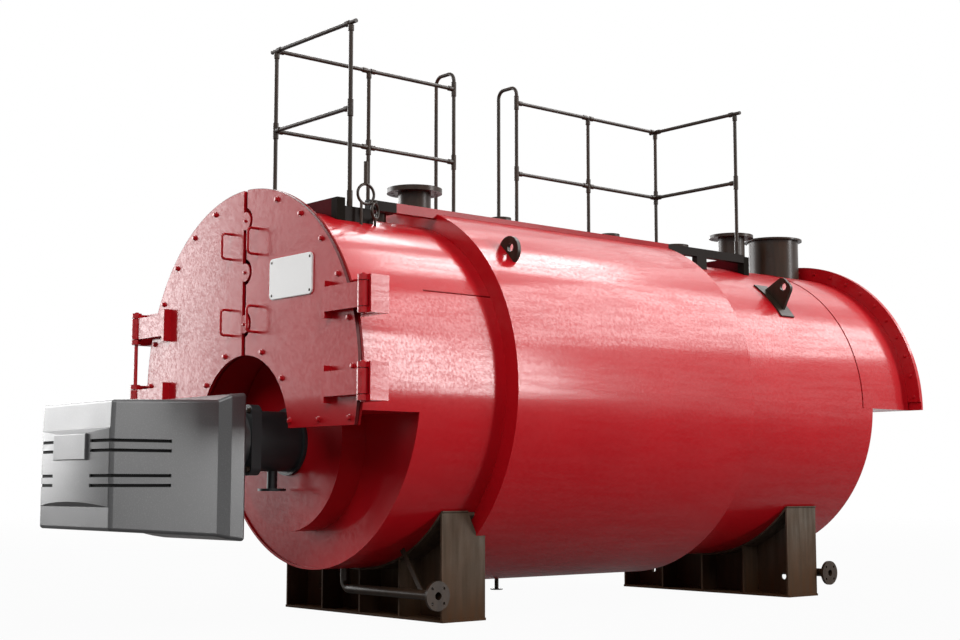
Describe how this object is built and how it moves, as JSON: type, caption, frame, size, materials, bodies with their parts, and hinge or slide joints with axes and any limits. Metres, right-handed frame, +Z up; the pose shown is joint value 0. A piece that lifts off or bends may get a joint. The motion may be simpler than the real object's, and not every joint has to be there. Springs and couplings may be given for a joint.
{
  "type": "fire-tube boiler",
  "caption": "Horizontal fire-tube boiler on saddles, with a forced-draught burner, hinged smokebox doors, flanged crown branches and a roof railing.",
  "frame": {"origin": "on the floor under the middle of the front saddle", "axes": "+Z up, +Y along the drums towards the rear, so the doors and burner face -Y"},
  "size_m": [2.702, 6.539, 3.852],
  "materials": {
    "red_paint": "gloss",
    "black_paint": "satin",
    "burner_grey": "satin",
    "charcoal": "satin"
  },
  "bodies": {
    "boiler": {"front_shell": "red_paint", "main_front_plate": "red_paint", "main_shell": "red_paint", "main_rear_plate": "red_paint", "rear_shell": "red_paint", "rear_tube_plate": "red_paint", "rear_cowl": "red_paint", "rear_flange": "red_paint", "rear_cover": "red_paint", "door_frame": "red_paint", "smokebox_floor": "red_paint", "front_plate": "red_paint", "furnace_front": "red_paint", "right_hinge_brackets": "red_paint", "left_hinge_brackets": "red_paint", "right_hinge_pins": "red_paint", "left_hinge_rod": "red_paint", "platform_supports": "red_paint", "steam_branch": "black_paint", "rear_branch": "black_paint", "flue_outlet": "black_paint", "crown_flanges": "black_paint", "front_lugs": "black_paint", "rear_lugs": "black_paint", "siphons": "black_paint", "platform_beams": "black_paint", "railing_posts": "black_paint", "railing_rails": "black_paint", "railing_hoops": "black_paint", "front_saddle": "black_paint", "rear_saddle": "black_paint", "front_drain": "black_paint", "rear_drain": "black_paint", "blowdown_stub": "black_paint", "burner_housing": "burner_grey", "burner_flange": "charcoal", "blast_tube": "charcoal", "gas_inlet": "charcoal"},
    "right_door": {"right_door": "red_paint", "right_handles": "red_paint", "right_hinge_straps": "red_paint"},
    "left_door": {"left_door": "red_paint", "left_door_tabs": "red_paint", "left_handles": "red_paint", "left_hinge_straps": "red_paint"}
  },
  "joints": [
    {"name": "right_door_hinge", "type": "hinge", "parent": "boiler", "child": "right_door", "pos_m": [1.294, -1.106, 1.873], "axis": [0, 0, 1], "range_deg": [0, 110]},
    {"name": "left_door_hinge", "type": "hinge", "parent": "boiler", "child": "left_door", "pos_m": [-1.294, -1.106, 1.873], "axis": [0, 0, -1], "range_deg": [0, 110]}
  ]
}
